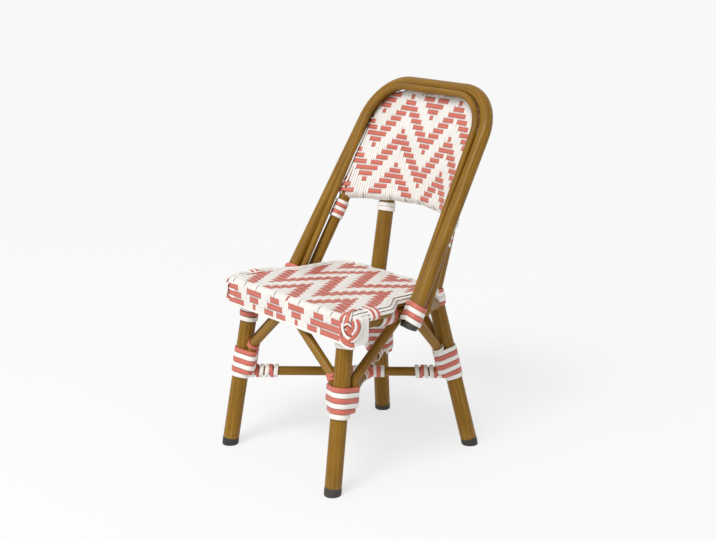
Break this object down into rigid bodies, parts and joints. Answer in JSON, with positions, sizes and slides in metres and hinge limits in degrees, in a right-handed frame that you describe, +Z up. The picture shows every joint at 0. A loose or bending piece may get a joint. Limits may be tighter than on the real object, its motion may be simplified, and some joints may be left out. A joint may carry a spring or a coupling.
{
  "type": "bistro chair",
  "caption": "Small bistro chair of bent cane-look tubes with a woven strand seat, a woven bowed back panel and strand lashings at the joints.",
  "frame": {"origin": "on the floor, under the middle of the chair's overall box", "axes": "+Z up; the front of the seat faces -Y; +X is to the right of a person looking along +Y from in front of the chair"},
  "size_m": [0.3714, 0.377, 0.6275],
  "materials": {
    "cane": "painted to look like cane, satin",
    "weave": "flat white strand woven with coral strand, satin",
    "coral_strand": "satin",
    "white_strand": "satin",
    "foot_cap": "matte",
    "end_plug": "matte"
  },
  "bodies": {
    "root": {"leg_front_left": "cane", "leg_front_right": "cane", "leg_rear_left": "cane", "leg_rear_right": "cane", "foot_cap_front_left": "foot_cap", "foot_cap_front_right": "foot_cap", "foot_cap_rear_left": "foot_cap", "foot_cap_rear_right": "foot_cap", "side_rail_left": "cane", "side_rail_right": "cane", "front_rail": "cane", "back_rail": "cane", "stretcher_through": "cane", "stretcher_half_front": "cane", "stretcher_half_rear": "cane", "side_brace_front_left": "cane", "side_brace_front_right": "cane", "side_brace_rear_left": "cane", "side_brace_rear_right": "cane", "cross_brace_front_left": "cane", "cross_brace_front_right": "cane", "cross_brace_rear_left": "cane", "cross_brace_rear_right": "cane", "seat_ring": "cane", "woven_seat": "weave", "back_hoop": "cane", "hoop_bead": "cane", "inner_hoop": "cane", "lower_back_rail": "cane", "woven_back": "weave", "hoop_plug_left": "end_plug", "hoop_plug_right": "end_plug", "bead_cap_left": "end_plug", "bead_cap_right": "end_plug", "leg_lashing_front_left_coral": "coral_strand", "leg_lashing_front_left_white": "white_strand", "leg_lashing_front_right_coral": "coral_strand", "leg_lashing_front_right_white": "white_strand", "leg_lashing_rear_left_coral": "coral_strand", "leg_lashing_rear_left_white": "white_strand", "leg_lashing_rear_right_coral": "coral_strand", "leg_lashing_rear_right_white": "white_strand", "leg_wrap_front_left": "white_strand", "leg_wrap_front_right": "white_strand", "knee_wrap_left": "coral_strand", "knee_wrap_right": "coral_strand", "head_wrap_left": "white_strand", "head_wrap_right": "white_strand", "hoop_lashing_left_coral": "coral_strand", "hoop_lashing_left_white": "white_strand", "hoop_lashing_right_coral": "coral_strand", "hoop_lashing_right_white": "white_strand", "inner_hoop_wrap_left": "coral_strand", "inner_hoop_wrap_right": "coral_strand", "stretcher_wrap_front_left": "coral_strand", "stretcher_wrap_front_right": "coral_strand", "stretcher_wrap_rear_left": "coral_strand", "stretcher_wrap_rear_right": "coral_strand", "crossing_wrap_coral": "coral_strand", "crossing_wrap_white": "white_strand"}
  },
  "joints": []
}
